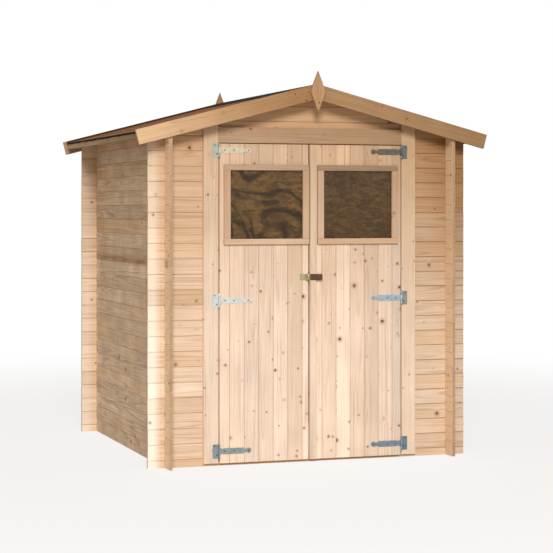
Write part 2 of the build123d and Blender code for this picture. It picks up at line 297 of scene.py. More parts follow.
def paintLight(tree, base, fields, kind, amount):
    tint, blend, ramps = paintedLight[kind]
    share = amount
    for field, *limits in ramps:
        step = addNode(tree, "MapRange", {0: fields[field], **span(limits)}).outputs[0]
        share = addNode(tree, "Math", {0: share, 1: step}, operation="MULTIPLY").outputs[0]
    inputs = {0: share, 6: base, 7: linear(tint)}
    return addNode(tree, "Mix", inputs, data_type="RGBA", blend_type=blend).outputs[2]


def planedSpruce(name, pale, honey, late, knotShares=(0.3, 0.12), ringShare=0.34, turn=None, roughness=0.62,
                 patches=(0.93, 1.05), evenness=0.25, highShare=1.0, cornerLightShare=0.0, farRight=0.0, stubs=0.0,
                 endTone="#C49F80", stainZ=None):
    # Planed and unpainted spruce: matt, with soft growth lines, dark small knots and boards of unlike tone
    look = spruceLook
    settings = {"Roughness": roughness, "Specular IOR Level": look["specular"]}
    material, tree, surface = newMaterial(name, settings)
    place = addNode(tree, "TexCoord").outputs["Object"]
    fields = list(addNode(tree, "SeparateXYZ", {0: place}).outputs)
    if turn is None:
        grain = addNode(tree, "Attribute", attribute_name="grain").outputs["Vector"]
        board = addNode(tree, "Attribute", attribute_name="board").outputs["Vector"]
        fields.append(addNode(tree, "Attribute", attribute_name="sawnEnd").outputs["Fac"])
    else:
        grain = addNode(tree, "Mapping", {"Vector": place, "Rotation": turn, "Location": look["pithPlace"]})
        grain = grain.outputs[0]
        board = addNode(tree, "CombineXYZ", look["plainBoard"]).outputs[0]
    marks = addNode(tree, "SeparateXYZ", {0: board})
    noise = {}
    for kind, (drawn, detail, rough) in drawnNoises.items():
        along = addNode(tree, "VectorMath", {0: grain, 1: drawn}, operation="MULTIPLY").outputs[0]
        settings = {"Vector": along, "Scale": 1.0, "Detail": detail, "Roughness": rough}
        noise[kind] = addNode(tree, "TexNoise", settings).outputs[0]

    # Knots: a ragged round core in some cells, of its own size and depth
    ragged = addNode(tree, "TexNoise", {"Vector": grain, "Scale": 190.0, "Detail": 1.0}).outputs[0]
    ragged = addNode(tree, "MapRange", {0: ragged, **span(look["knotRagged"])}).outputs[0]
    knots = []
    for spacing, radius, share in zip(look["knotSpacing"], look["knotRadius"], knotShares):
        cell = addNode(tree, "TexVoronoi", {"Vector": grain, "Scale": 1 / spacing, "Randomness": 0.9},
                       voronoi_dimensions="2D")
        lot = addNode(tree, "SeparateColor", {0: cell.outputs["Color"]})
        there = addNode(tree, "Math", {0: lot.outputs[0], 1: share}, operation="LESS_THAN").outputs[0]
        size = addNode(tree, "MapRange", {0: lot.outputs[1], 3: 0.6, 4: 1.3}).outputs[0]
        away = cell.outputs["Distance"]
        for value, operation in ((spacing / radius, "MULTIPLY"), (size, "DIVIDE"), (ragged, "ADD")):
            away = addNode(tree, "Math", {0: away, 1: value}, operation=operation).outputs[0]
        depth = addNode(tree, "MapRange", {0: lot.outputs[2], 3: 0.15, 4: 0.95}).outputs[0]
        knots.append((away, there, depth))

    # Growth rings round the pith, pushed out of round by slow noise and by the knots
    parts = addNode(tree, "SeparateXYZ", {0: grain})
    rings = [addNode(tree, "Math", {0: parts.outputs[i], 1: 2.0}, operation="POWER") for i in (1, 2)]
    rings = addNode(tree, "Math", {i: rings[i].outputs[0] for i in (0, 1)}, operation="ADD").outputs[0]
    rings = addNode(tree, "Math", {0: rings}, operation="SQRT").outputs[0]
    pushes = [(noise["slow"], look["ringWander"])]
    for (away, there, depth), push in zip(knots, look["knotPush"]):
        near = {0: away, **span(look["knotNear"])}
        near = addNode(tree, "MapRange", near, interpolation_type="SMOOTHERSTEP")
        near = addNode(tree, "Math", {0: near.outputs[0], 1: there}, operation="MULTIPLY")
        pushes.append((near.outputs[0], push))
    for share, push in pushes:
        rings = addNode(tree, "Math", {0: share, 1: push, 2: rings}, operation="MULTIPLY_ADD").outputs[0]
    year = addNode(tree, "Math", {0: rings, 1: 1 / look["ringWidth"]}, operation="MULTIPLY").outputs[0]
    year = addNode(tree, "Math", {0: year}, operation="FRACT").outputs[0]
    line = ramp(addNode(tree, "ValToRGB", {0: year}), look["ringProfile"]).outputs[0]

    # Colour: pale wood to honey in streaks, then late wood, resin and fibres over it
    evened = (0.3, 0.7, evenness, 1.0 - evenness)
    warm = addNode(tree, "MapRange", {0: noise["streak"], **span(evened)}).outputs[0]
    inputs = {0: marks.outputs[1], 1: look["boardWarmth"], 2: warm}
    lift = addNode(tree, "Math", inputs, operation="MULTIPLY_ADD").outputs[0]
    clear = addNode(tree, "MapRange", {0: noise["slow"], **span(look["ringClear"])}).outputs[0]
    lateShare = line
    for factor in (clear, ringShare):
        lateShare = addNode(tree, "Math", {0: lateShare, 1: factor}, operation="MULTIPLY").outputs[0]
    resinShare = addNode(tree, "MapRange", {0: noise["resin"], **span(look["resinShare"])}).outputs[0]
    fibreShare = addNode(tree, "MapRange", {0: noise["fibre"], **span(look["fibreShare"])}).outputs[0]
    base = linear(pale)
    for share, tint in ((lift, honey), (lateShare, late), (resinShare, look["resin"]), (fibreShare, late)):
        base = addNode(tree, "Mix", {0: share, 6: base, 7: linear(tint)}, data_type="RGBA").outputs[2]

    # Each board's own tone, soft patches, and painted light and shade by its place on the shed
    # painted light on the log ends at the left corners
    if cornerLightShare:
        base = paintLight(tree, base, fields, "paintedCornerLight", cornerLightShare)
    inputs = {0: marks.outputs[0], 1: look["boardTone"], 2: 1.0}
    tone = addNode(tree, "Math", inputs, operation="MULTIPLY_ADD").outputs[0]
    cloud = addNode(tree, "TexNoise", {"Vector": grain, "Scale": 5.0, "Detail": 2.0}).outputs[0]
    patch = addNode(tree, "MapRange", {0: cloud, **span((0.3, 0.7, *patches))}).outputs[0]
    field, *limits = paintedLight["sideways"]
    sideways = addNode(tree, "MapRange", {0: fields[field], **span(limits)}).outputs[0]
    for factor in (patch, sideways):
        tone = addNode(tree, "Math", {0: tone, 1: factor}, operation="MULTIPLY").outputs[0]
    base = addNode(tree, "VectorMath", {0: base, 3: tone}, operation="SCALE").outputs[0]
    for kind, amount in (("high", highShare), ("farRight", farRight), ("stubs", stubs)):
        if amount:
            base = paintLight(tree, base, fields, kind, amount)

    # Marks over the wood, each a share and a tint
    over = []
    for away, there, depth in knots:
        shell = addNode(tree, "Math", {0: there, 1: depth}, operation="MULTIPLY").outputs[0]
        for start, end, most, ink in look["knotShades"]:
            share = addNode(tree, "MapRange", {0: away, **span((start, end, most, 0.0))}).outputs[0]
            over.append((addNode(tree, "Math", {0: share, 1: shell}, operation="MULTIPLY").outputs[0], ink))
    if turn is None:  # sawn ends are darker than planed faces, and the slopes of the V joints take painted shade
        ends = addNode(tree, "Math", {0: fields[3], 1: look["endShare"]}, operation="MULTIPLY").outputs[0]
        jointShade = addNode(tree, "Attribute", attribute_name="joint").outputs["Fac"]
        over += [(ends, endTone), (jointShade, look["jointShadeTone"])]
    if stainZ is not None:  # a brown resin streak along one log of the left wall
        off = addNode(tree, "Math", {0: fields[2], 1: stainZ}, operation="SUBTRACT").outputs[0]
        off = addNode(tree, "Math", {0: off}, operation="ABSOLUTE").outputs[0]
        stain = addNode(tree, "MapRange", {0: off, **span(stainLook["fade"])}).outputs[0]
        onLeft = addNode(tree, "Math", {0: fields[0], 1: 0.0}, operation="LESS_THAN").outputs[0]
        run = addNode(tree, "Math", {0: fields[1]}, operation="ABSOLUTE").outputs[0]
        offEnds = addNode(tree, "Math", {0: run, 1: stainLook["end"]}, operation="LESS_THAN").outputs[0]
        for factor in (onLeft, offEnds, noise["streak"]):
            stain = addNode(tree, "Math", {0: stain, 1: factor}, operation="MULTIPLY").outputs[0]
        over.append((stain, stainLook["tone"]))
    for share, tint in over:
        base = addNode(tree, "Mix", {0: share, 6: base, 7: linear(tint)}, data_type="RGBA").outputs[2]
    tree.links.new(base, surface.inputs["Base Color"])

    # Relief: late wood stands a little proud of the softer early wood
    relief = addNode(tree, "Math", {0: line, 1: 0.5, 2: noise["fibre"]}, operation="MULTIPLY_ADD").outputs[0]
    bump = addNode(tree, "Bump", {"Height": relief, "Strength": 0.35, "Distance": look["relief"]})
    tree.links.new(bump.outputs[0], surface.inputs["Normal"])
    return material


feltLook = {
    "grit": 2.2 * mm,     # crushed slate, coarser than real so that it shows
    "mottle": (0.3, 0.7, 0.8, 1.15),
    "relief": 0.6 * mm,
    "surface": {"Roughness": 0.95, "Specular IOR Level": 0.08},
}


def mineralFelt(name, mineral, speck, edge, edgeFrom, eaveFrom):
    # Bitumen felt rolled with crushed slate: a gritty matt sheet, with bare dark bitumen at its cut edges
    look = feltLook
    material, tree, surface = newMaterial(name, look["surface"])
    place = addNode(tree, "TexCoord").outputs["Object"]
    grit = addNode(tree, "TexVoronoi", {"Vector": place, "Scale": 1 / look["grit"]})
    lot = addNode(tree, "SeparateColor", {0: grit.outputs["Color"]}).outputs[0]
    mottle = addNode(tree, "TexNoise", {"Vector": place, "Scale": 9.0, "Detail": 5.0}).outputs[0]
    colour = addNode(tree, "Mix", {0: lot, 6: linear(mineral), 7: linear(speck)}, data_type="RGBA").outputs[2]
    tone = addNode(tree, "MapRange", {0: mottle, **span(look["mottle"])}).outputs[0]
    colour = addNode(tree, "VectorMath", {0: colour, 3: tone}, operation="SCALE").outputs[0]
    parts = addNode(tree, "SeparateXYZ", {0: place})
    edges = []
    for axis, start in ((1, edgeFrom), (0, eaveFrom)):
        reach = addNode(tree, "Math", {0: parts.outputs[axis]}, operation="ABSOLUTE").outputs[0]
        edges.append(addNode(tree, "Math", {0: reach, 1: start}, operation="GREATER_THAN").outputs[0])
    bare = addNode(tree, "Math", {0: edges[0], 1: edges[1]}, operation="MAXIMUM").outputs[0]
    colour = addNode(tree, "Mix", {0: bare, 6: colour, 7: linear(edge)}, data_type="RGBA").outputs[2]
    tree.links.new(colour, surface.inputs["Base Color"])
    grains = grit.outputs["Distance"]
    bump = addNode(tree, "Bump", {"Height": grains, "Strength": 0.5, "Distance": look["relief"]})
    tree.links.new(bump.outputs[0], surface.inputs["Normal"])
    return material


zincLook = {
    "cloud": 22 * mm,
    "clouding": (0.3, 0.7, 1.1, 0.8),
    "top": 2.0,                          # metres: the height at which the ramp below ends
    "heights": (0.0, 0.25, 0.7),         # where the lowest, the middle and the top piece begin on it
    "surface": {"Metallic": 0.6},
    "dullest": (-0.08, 0.12),            # about the given roughness
    "relief": 0.3 * mm,
}


def zincSteel(name, low, middle, top, roughness=0.42):
    # Zinc-plated pressed steel: a cool clouded grey with a dull sheen, and painted light in its colour: each
    # hinge paler or darker by its height, as it catches the lamp
    look = zincLook
    material, tree, surface = newMaterial(name, look["surface"])
    place = addNode(tree, "TexCoord").outputs["Object"]
    cloud = addNode(tree, "TexNoise", {"Vector": place, "Scale": 1 / look["cloud"], "Detail": 4.0}).outputs[0]
    height = addNode(tree, "SeparateXYZ", {0: place}).outputs[2]
    height = addNode(tree, "Math", {0: height, 1: look["top"]}, operation="DIVIDE").outputs[0]
    plated = ramp(addNode(tree, "ValToRGB", {0: height}), list(zip(look["heights"], (low, middle, top))))
    plated.color_ramp.interpolation = "CONSTANT"
    tone = addNode(tree, "MapRange", {0: cloud, **span(look["clouding"])}).outputs[0]
    colour = addNode(tree, "VectorMath", {0: plated.outputs[0], 3: tone}, operation="SCALE").outputs[0]
    tree.links.new(colour, surface.inputs["Base Color"])
    least, most = (roughness + offset for offset in look["dullest"])
    rough = addNode(tree, "MapRange", {0: cloud, **span((0.3, 0.7, least, most))}).outputs[0]
    tree.links.new(rough, surface.inputs["Roughness"])
    bump = addNode(tree, "Bump", {"Height": cloud, "Strength": 0.15, "Distance": look["relief"]})
    tree.links.new(bump.outputs[0], surface.inputs["Normal"])
    return material


acrylicLook = {
    "warp": {"Scale": 3.1, "Detail": 2.5, "Distortion": 1.9},    # broad dark bands of painted reflection
    "fine": {"Scale": 26.0, "Detail": 6.0, "Distortion": 0.9},   # small ripples, flatter than they are wide, in the painted reflection and in the gloss
    "faint": {"Scale": 4.3, "Detail": 1.0},                      # where the bands fade away
    "flatten": (1.0, 1.0, 2.2),
    "bands": [(0.0, 0.0), (0.45, 0.0), (0.5, 1.0), (0.55, 1.0), (0.6, 0.0)],
    "bandFade": (0.42, 0.56, 0.15, 0.9),
    "bandByLeaf": (-10 * mm, 10 * mm, 0.9, 0.4),   # the right pane's painted reflection is calmer and darker than the left's
    "toneByLeaf": (-10 * mm, 10 * mm, 1.0, 0.7),
    "surface": {"Roughness": 0.12, "IOR": 1.49, "Transmission Weight": 0.2, "Specular IOR Level": 0.28},
    "relief": 4 * mm,
}


def smokyAcrylic(name, tint, pale, paintedReflectionTone):
    # Thin sheet acrylic before a dark room: a smoky brown with painted reflections in its colour, dark bands
    # and small ripples, and a gently rippled gloss
    look = acrylicLook
    material, tree, surface = newMaterial(name, look["surface"])
    place = addNode(tree, "TexCoord").outputs["Object"]
    flat = addNode(tree, "VectorMath", {0: place, 1: look["flatten"]}, operation="MULTIPLY").outputs[0]
    warp = addNode(tree, "TexNoise", {"Vector": place, **look["warp"]}).outputs[0]
    fine = addNode(tree, "TexNoise", {"Vector": flat, **look["fine"]}).outputs[0]
    faint = addNode(tree, "TexNoise", {"Vector": place, **look["faint"]}).outputs[0]
    # painted reflection: small ripples between the tint and a paler brown
    share = addNode(tree, "MapRange", {0: fine, 1: 0.34, 2: 0.66}).outputs[0]
    colour = addNode(tree, "Mix", {0: share, 6: linear(tint), 7: linear(pale)}, data_type="RGBA").outputs[2]
    side = addNode(tree, "SeparateXYZ", {0: place}).outputs[0]
    tone = addNode(tree, "MapRange", {0: side, **span(look["toneByLeaf"])}).outputs[0]
    colour = addNode(tree, "VectorMath", {0: colour, 3: tone}, operation="SCALE").outputs[0]
    # painted reflection: broad dark bands, faded away in places and calmer on the right pane
    band = ramp(addNode(tree, "ValToRGB", {0: warp}), look["bands"]).outputs[0]
    for field, limits in ((faint, look["bandFade"]), (side, look["bandByLeaf"])):
        step = addNode(tree, "MapRange", {0: field, **span(limits)}).outputs[0]
        band = addNode(tree, "Math", {0: band, 1: step}, operation="MULTIPLY").outputs[0]
    colour = addNode(tree, "Mix", {0: band, 6: colour, 7: linear(paintedReflectionTone)}, data_type="RGBA").outputs[2]
    tree.links.new(colour, surface.inputs["Base Color"])
    ripple = addNode(tree, "Math", {0: fine, 1: 0.5, 2: warp}, operation="MULTIPLY_ADD").outputs[0]
    bump = addNode(tree, "Bump", {"Height": ripple, "Strength": 0.25, "Distance": look["relief"]})
    tree.links.new(bump.outputs[0], surface.inputs["Normal"])
    return material


alongX, alongY, alongZ = (0, 0, 0), (0, 0, math.radians(90)), (0, math.radians(90), 0)
# The front, rear and gable logs: painted light on the left corner log ends, painted shade towards the roof's
# right corner
logWood = planedSpruce("planedSpruceLogs", "#F3E1CD", "#E2C4A4", "#AA815B", (0.24, 0.1), 0.5, cornerLightShare=0.9,
                       farRight=0.95)
# The side walls' logs: a darker, warmer copy of the log wood as painted shade, with stronger patches and a
# resin streak of their own, and painted light on the stubs past the front wall
sideLogWood = planedSpruce("planedSpruceSideLogs", "#F3E0C8", "#DEC19F", "#9A7650", (0.3, 0.16), 0.58,
                           patches=(0.84, 1.12), evenness=0.0, stainZ=1.108, highShare=0.55, stubs=0.7,
                           endTone="#A07C5E")
doorWood = planedSpruce("planedSpruceDoorBoards", "#F8ECDF", "#ECD4BE", "#C49C7E", (0.6, 0.26), 0.4)
jambWood = planedSpruce("planedSpruceJambBoards", "#F4E6D6", "#E6D0B8", "#BF997A", (0.34, 0.14), 0.36)
trimWood = planedSpruce("planedSpruceTrim", "#EDD8C4", "#DFC3A7", "#B8916F", (0.3, 0.1), 0.36)
vergeWood = planedSpruce("planedSpruceVergeBoards", "#E8D2BA", "#C8A680", "#9C7A53", (0.46, 0.2), 0.5)
roofWood = planedSpruce("sawnSpruceRoofBoards", "#D6B48A", "#BF9669", "#966B42", roughness=0.75)
postWood = planedSpruce("planedSpruceUprights", "#DCBD96", "#C99F72", "#A67B50", turn=alongZ)
railWood = planedSpruce("planedSpruceRails", "#DCBD96", "#C99F72", "#A67B50", turn=alongX)
purlinWood = planedSpruce("planedSprucePurlins", "#D6B48A", "#BF9669", "#966B42", turn=alongY)
feltSheet = mineralFelt("mineralFeltSheet", "#7A5234", "#A67A52", "#4B3526", 0.9315, 1.0)
feltRidge = mineralFelt("mineralFeltRidgeStrip", "#1B1816", "#2B2622", "#151312", 0.9305, 1.0)
# painted light and reflection: the hinges' colours by height and side, left paler than right, follow how each
# caught the light
zincLeft = zincSteel("zincPlatedStrapsLeft", "#91A1A6", "#D6DBDA", "#CCC5AE")
zincRight = zincSteel("zincPlatedStrapsRight", "#7F94A1", "#A6BAC6", "#66645A")
zincPlateLeft = zincSteel("zincPlatedPlatesLeft", "#8B9CA6", "#D2DAE0", "#A9B7A8")
zincPlateRight = zincSteel("zincPlatedPlatesRight", "#6F8896", "#8E9893", "#6B7070")
haspPlate = zincSteel("yellowPassivatedSteel", "#ADAA7E", "#ADAA7E", "#ADAA7E")
# the hasp's flap is coloured dark brown all over
haspFlap = zincSteel("darkBrownSteel", "#5F4636", "#5F4636", "#5F4636")
zincScrew = zincSteel("zincPlatedScrews", "#4E5356", "#5A5F60", "#4A4B45", roughness=0.35)
acrylic = smokyAcrylic("smokyAcrylicSheet", "#553F22", "#7E6039", "#2E2013")
print("materials made")


# Log walls: one notched log is modelled, and every log in the walls is a copy of it with its own grain

walls = {
    "half": 840 * mm,         # outer faces from the centre, both ways
    "thickness": 19 * mm,
    "end": 935 * mm,          # the logs run on past the crossings to here
    "height": 84 * mm,
    "chamfer": 2.3 * mm,      # each long edge's share of the V joint
    "seam": 0.12 * mm,        # half of the hairline left between two logs
    "arris": 0.7 * mm,
    "notchDepth": 21.2 * mm,
    "notchPlay": 0.4 * mm,
    "endPlay": 1.6 * mm,      # how unevenly the ends are sawn
    "endZone": 2 * mm,        # what lies this near an end moves with it
    "purlinPlay": 0.5 * mm,
    "cutterPast": 10 * mm,    # how far a cutter stands clear of what it cuts, and to either side of a log
    "cutterReach": 50 * mm,
    "opening": 530 * mm,
    "courses": 22,
}
roof = {
    "pitch": math.radians(14.53),
    "topZ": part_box("front_verge_right")[1].z,
    "underDrop": 31 * mm,     # felt's upstand, felt and deck, square to the slope
    "blank": (0.2, 1.2),      # a sloping board starts this far past the ridge and ends this far out, uncut
}
slopeTan, slopeCos, slopeSin = math.tan(roof["pitch"]), math.cos(roof["pitch"]), math.sin(roof["pitch"])
underZ = roof["topZ"] - roof["underDrop"] / slopeCos
wallMid = walls["half"] - walls["thickness"] / 2
gableZ = walls["courses"] * walls["height"] - walls["height"] / 2


def makeLog():
    half, end, high = walls["thickness"] / 2, walls["end"], walls["height"]
    log = block((-end, -half, walls["seam"]), (end, half, high - walls["seam"]))
    bevelEdges(log, lambda a, b: abs(a.x - b.x) > end, walls["chamfer"])
    play, deep, past, reach = (walls[key] for key in ("notchPlay", "notchDepth", "cutterPast", "cutterReach"))
    for side in (-1, 1):
        across = sorted((side * (walls["half"] + play), side * (walls["half"] - walls["thickness"] - play)))
        for low, top in ((-past, deep), (high - deep, high + past)):
            carve(log, block((across[0], -reach, low), (across[1], reach, top)), spent=True)
    ease(log, walls["arris"], segments=1, angle_limit=sharp)
    return log


def setLog(master, place, turnZ, along):
    log = copyTo(master, place, turnZ)
    for end in (-1, 1):
        shift = rng.uniform(-walls["endPlay"], 0.0) * end
        for vertex in log.data.vertices:
            if vertex.co.dot(along) * end > walls["end"] - walls["endZone"]:
                vertex.co += along * shift
    return log


def cutToRoof(piece):
    for side in (-1, 1):
        cutAway(piece, (0, 0, underZ), (side * slopeSin, 0, slopeCos))


logMaster = makeLog()
halfMasters = {}
for side in (-1, 1):
    halfMasters[side] = copyTo(logMaster)
    cutAway(halfMasters[side], (side * walls["opening"], 0, 0), (-side, 0, 0))

purlinCutters = []
for name in ("ridge_purlin", "left_purlin", "right_purlin"):
    low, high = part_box(name)
    slack = Vector((walls["purlinPlay"], 0, walls["purlinPlay"]))
    purlinCutters.append(block(low - slack, high + slack + Vector((0, 0, walls["cutterReach"]))))

for sideName, side in (("left", -1), ("right", 1)):
    logs = []
    for course in range(walls["courses"]):
        log = setLog(logMaster, (side * wallMid, 0, course * walls["height"]), math.radians(90), axisY)
        if course == walls["courses"] - 1:
            cutToRoof(log)
        logs.append(layGrain(log, axisY, axisZ, jointShade=0.12))
    join(sideName + "_wall_logs", logs, "shed", sideLogWood, [sideName + "_wall"])


def crossLogs(y, first, last, master, tone=0.0, jointShade=0.32):
    logs = []
    for course in range(first, last):
        low = walls["height"] * (course + 0.5)
        log = setLog(master, (0, y, low), 0.0, axisX)
        if low < 0:
            cutAway(log, (0, 0, 0), (0, 0, -1))
        if low > gableZ - mm:
            cutToRoof(log)
            for cutter in purlinCutters:
                carve(log, cutter)
        logs.append(layGrain(log, axisX, axisZ, tone=tone, spread=0.55, jointShade=jointShade))
    return logs


gableFirst, gableLast = walls["courses"] - 1, walls["courses"] + 2
for sideName, side in (("left", -1), ("right", 1)):
    # the right front wall's V joints take more painted shade than the left's
    logs = crossLogs(-wallMid, -1, gableFirst, halfMasters[side], jointShade=0.26 if side < 0 else 0.5)
    join(f"front_wall_{sideName}_logs", logs, "shed", logWood, [f"front_wall_{sideName}"])
gable = crossLogs(-wallMid, gableFirst, gableLast, logMaster, tone=1.2)
join("front_gable_logs", gable, "shed", logWood, ["front_gable"])
rear = crossLogs(wallMid, -1, gableLast, logMaster)
join("rear_wall_logs", rear, "shed", logWood, ["rear_wall"])
scrap(logMaster, *halfMasters.values(), *purlinCutters)
print("log walls laid")


# Planed boards: trim, verge boards, eave boards, finials, ledges

boards = {"arris": 1.6 * mm, "fineArris": 0.9 * mm}


def easedBoard(low, high, along, across, arris=None, **grain):
    board = block(low, high)
    ease(board, arris or boards["arris"])
    return layGrain(board, along, across, **grain)


def trimPiece(name, body, replaced, parts, material=trimWood):
    join(name, parts, body, material, replaced)


for sideName, side in (("left", -1), ("right", 1)):
    low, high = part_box("jamb_trim_" + sideName)
    jamb = block(low, high)
    cutToRoof(jamb)
    ease(jamb, boards["arris"])
    layGrain(jamb, axisZ, axisX, tone=0.0 if side < 0 else 0.7, spread=0.4)
    trimPiece("jamb_trim_board_" + sideName, "shed", ["jamb_trim_" + sideName], [jamb], jambWood)
low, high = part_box("head_board")
head = easedBoard(low, high, axisX, axisZ, tone=-1.9, spread=0.3)
trimPiece("head_trim_board", "shed", ["head_board"], [head])


verge = {"width": 82.5 * mm, "thickness": 18 * mm}


def slopeBlank(side, y, top, depth):  # a board down one slope, cut upright at the ridge
    past, reach = roof["blank"]
    x = sorted((-side * past, side * reach))
    blank = block((x[0], y[0], top - depth), (x[1], y[1], top), tilt=side * roof["pitch"], pivot=(0, 0, top))
    cutAway(blank, (0, 0, 0), (-side, 0, 0))
    return blank


def downSlope(side):
    return Vector((slopeCos * side, 0, -slopeSin))


def vergeBoard(side, y, tone, fade):
    top, half = roof["topZ"], verge["thickness"] / 2
    board = slopeBlank(side, (y - half, y + half), top, verge["width"])
    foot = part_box("front_verge_right")[1].x
    cutAway(board, (side * foot, 0, top - foot * slopeTan), downSlope(side))
    ease(board, boards["arris"])
    across = Vector((slopeSin * side, 0, slopeCos))
    return layGrain(board, downSlope(side), across, tone=tone, spread=0.3, fade=fade)


for endName in ("front", "rear"):
    low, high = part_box(endName + "_verge_right")
    for sideName, side in (("left", -1), ("right", 1)):
        # painted light: the front left verge board is paler, paler still towards its foot, and the other
        # verge boards are darker
        tone, fade = (0.9, 1.9) if side < 0 and endName == "front" else (-1.2, -0.3)
        board = vergeBoard(side, (low.y + high.y) / 2, tone, fade)
        replaced = [f"{endName}_verge_{sideName}"]
        trimPiece(f"{endName}_verge_board_{sideName}", "shed", replaced, [board], vergeWood)

finials = {
    "shoulderZ": roof["topZ"] - 43 * mm,   # height of the widest place
    "sideZone": 10 * mm,                   # the side corners lie this near the middle before they are raised
    "cornerRound": 1.5 * mm,
}


def makeFinial(name):  # a diamond drawn from a four-cornered disc, whose side corners sit above its middle
    low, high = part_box(name)
    middle = (low + high) / 2
    bpy.ops.mesh.primitive_circle_add(vertices=4, radius=1, fill_type="NGON", rotation=facingDoors,
                                      location=(middle.x, low.y, middle.z))
    piece = bpy.context.active_object
    piece.scale = ((high.x - low.x) / 2, (high.z - low.z) / 2, 1)
    settle(piece)
    for vertex in piece.data.vertices:
        vertex.select = abs(vertex.co.z - middle.z) < finials["sideZone"]
    pick(piece)
    bpy.context.tool_settings.mesh_select_mode = (True, False, False)
    bpy.ops.object.mode_set(mode="EDIT")
    bpy.ops.transform.translate(value=(0, 0, finials["shoulderZ"] - middle.z))
    bpy.ops.mesh.select_all(action="SELECT")
    bpy.ops.mesh.extrude_region_move(TRANSFORM_OT_translate={"value": (0, high.y - low.y, 0)})
    bpy.ops.mesh.select_all(action="SELECT")
    bpy.ops.mesh.normals_make_consistent(inside=False)
    bpy.ops.object.mode_set(mode="OBJECT")
    ease(piece, finials["cornerRound"])
    for vertex in piece.data.vertices:  # the rounded tips stay within the diamond's own height
        vertex.co.z = min(max(vertex.co.z, low.z), high.z)
    return layGrain(piece, axisZ, axisX, tone=0.2, spread=0.3)


for endName in ("front", "rear"):
    finial = makeFinial("finial_" + endName)
    trimPiece(endName + "_finial_board", "shed", ["finial_" + endName], [finial], vergeWood)
print("trim boards fitted")


# Roof: boards from eave to ridge on each slope, and an eave board to close them

deck = {
    "boardCount": 20,
    "half": 985 * mm,
    "thickness": 16 * mm,
    "topDrop": 15 * mm,       # square to the slope, down to the boards' tops
    "gap": 0.3 * mm,
    "chamfer": 1.5 * mm,
}
coverZ = roof["topZ"] - deck["topDrop"] / slopeCos


def deckBoards(side):
    width = 2 * walls["end"] / deck["boardCount"]
    half = width / 2 - deck["gap"]
    middleZ = coverZ - deck["thickness"] / 2
    master = slopeBlank(side, (-half, half), coverZ, deck["thickness"])
    cutAway(master, (side * deck["half"], 0, 0), (side, 0, 0))
    bevelEdges(master, lambda a, b: abs(a.x - b.x) > deck["half"] / 2 and a.z < middleZ, deck["chamfer"])
    parts = []
    for i in range(deck["boardCount"]):
        y = -walls["end"] + width * (i + 0.5)
        parts.append(layGrain(copyTo(master, (0, y, 0)), downSlope(side), axisY))
    scrap(master)
    return parts


for sideName, side in (("left", -1), ("right", 1)):
    replaced = ["roof_deck_" + sideName]
    join("roof_boards_" + sideName, deckBoards(side), "shed", roofWood, replaced)
    low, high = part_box("eave_board_" + sideName)
    eave = block(low, high)
    cutAway(eave, (0, 0, coverZ), (side * slopeSin, 0, slopeCos))
    ease(eave, boards["arris"])
    layGrain(eave, axisY, axisZ, tone=-2.6, spread=0.3, fade=1.4)
    trimPiece("eave_trim_board_" + sideName, "shed", ["eave_board_" + sideName], [eave], vergeWood)
print("roof boarded")


# Felt: a folded strip over the ridge and a turned-down edge along both eaves

felt = {
    "stripHalf": 80 * mm,
    "stripEnd": 931.5 * mm,
    "stripCells": (8, 24),
    "stripLift": 2.5 * mm,
    "stripThickness": 3 * mm,
    "sheetDrop": 12 * mm,     # square to the slope, down to the sheets' tops
    "crown": 10 * mm,         # how far the folded strip stands off the sheets at the ridge
    "crownHalf": 48 * mm,
    "crownBend": 0.6,
    "ripple": 0.9 * mm,       # at the strip's edges, with its turns for each metre along and across
    "rippleTurns": (9, 30),
    "foldOut": 0.2 * mm,      # the folded edge hangs this far clear of the eave board
    "foldInset": 2 * mm,
    "foldDrop": 7 * mm,
    "foldThickness": 2.5 * mm,
    "foldCuts": 40,
    "foldRipple": 1.6 * mm,
    "foldTurns": (23, 7),
}


def ridgeStrip():  # a flat grid folded along its middle, given a thickness
    across, along = felt["stripCells"]
    bpy.ops.mesh.primitive_grid_add(x_subdivisions=across, y_subdivisions=along, size=1)
    piece = bpy.context.active_object
    piece.scale = (2 * felt["stripHalf"], 2 * felt["stripEnd"], 1)
    settle(piece)
    sheetTop = roof["topZ"] - felt["sheetDrop"] / slopeCos
    turnsY, turnsX = felt["rippleTurns"]
    for vertex in piece.data.vertices:
        away = abs(vertex.co.x)
        crown = felt["crown"] * max(0.0, 1 - away / felt["crownHalf"]) ** felt["crownBend"]
        ripple = felt["ripple"] * math.sin(vertex.co.y * turnsY + away * turnsX) * away / felt["stripHalf"]
        vertex.co.z = sheetTop - away * slopeTan + felt["stripLift"] + crown + ripple
    finishWith(piece, "SOLIDIFY", thickness=felt["stripThickness"], offset=-1)
    return piece


join("ridge_felt_strip", [ridgeStrip()], "shed", feltRidge, ["ridge_felt_cap"])


def eaveFold(side):  # a thin strip with a wavy lower edge
    low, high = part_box("eave_board_right")
    out = high.x + felt["foldOut"]
    top = coverZ - out * slopeTan
    foot = top - felt["foldDrop"]
    x = sorted((side * out, side * (out + felt["foldThickness"])))
    fold = block((x[0], low.y + felt["foldInset"], foot), (x[1], high.y - felt["foldInset"], top + mm))
    pick(fold)
    bpy.ops.object.mode_set(mode="EDIT")
    bpy.ops.mesh.select_all(action="SELECT")
    bpy.ops.mesh.subdivide(number_cuts=felt["foldCuts"])
    bpy.ops.object.mode_set(mode="OBJECT")
    quick, slow = felt["foldTurns"]
    for vertex in fold.data.vertices:
        if vertex.co.z < foot + mm:
            wave = math.sin(vertex.co.y * quick) * math.sin(vertex.co.y * slow + 1)
            vertex.co.z += felt["foldRipple"] * wave
    return fold


for sideName, side in (("left", -1), ("right", 1)):
    join("eave_felt_fold_" + sideName, [eaveFold(side)], "shed", feltRidge)


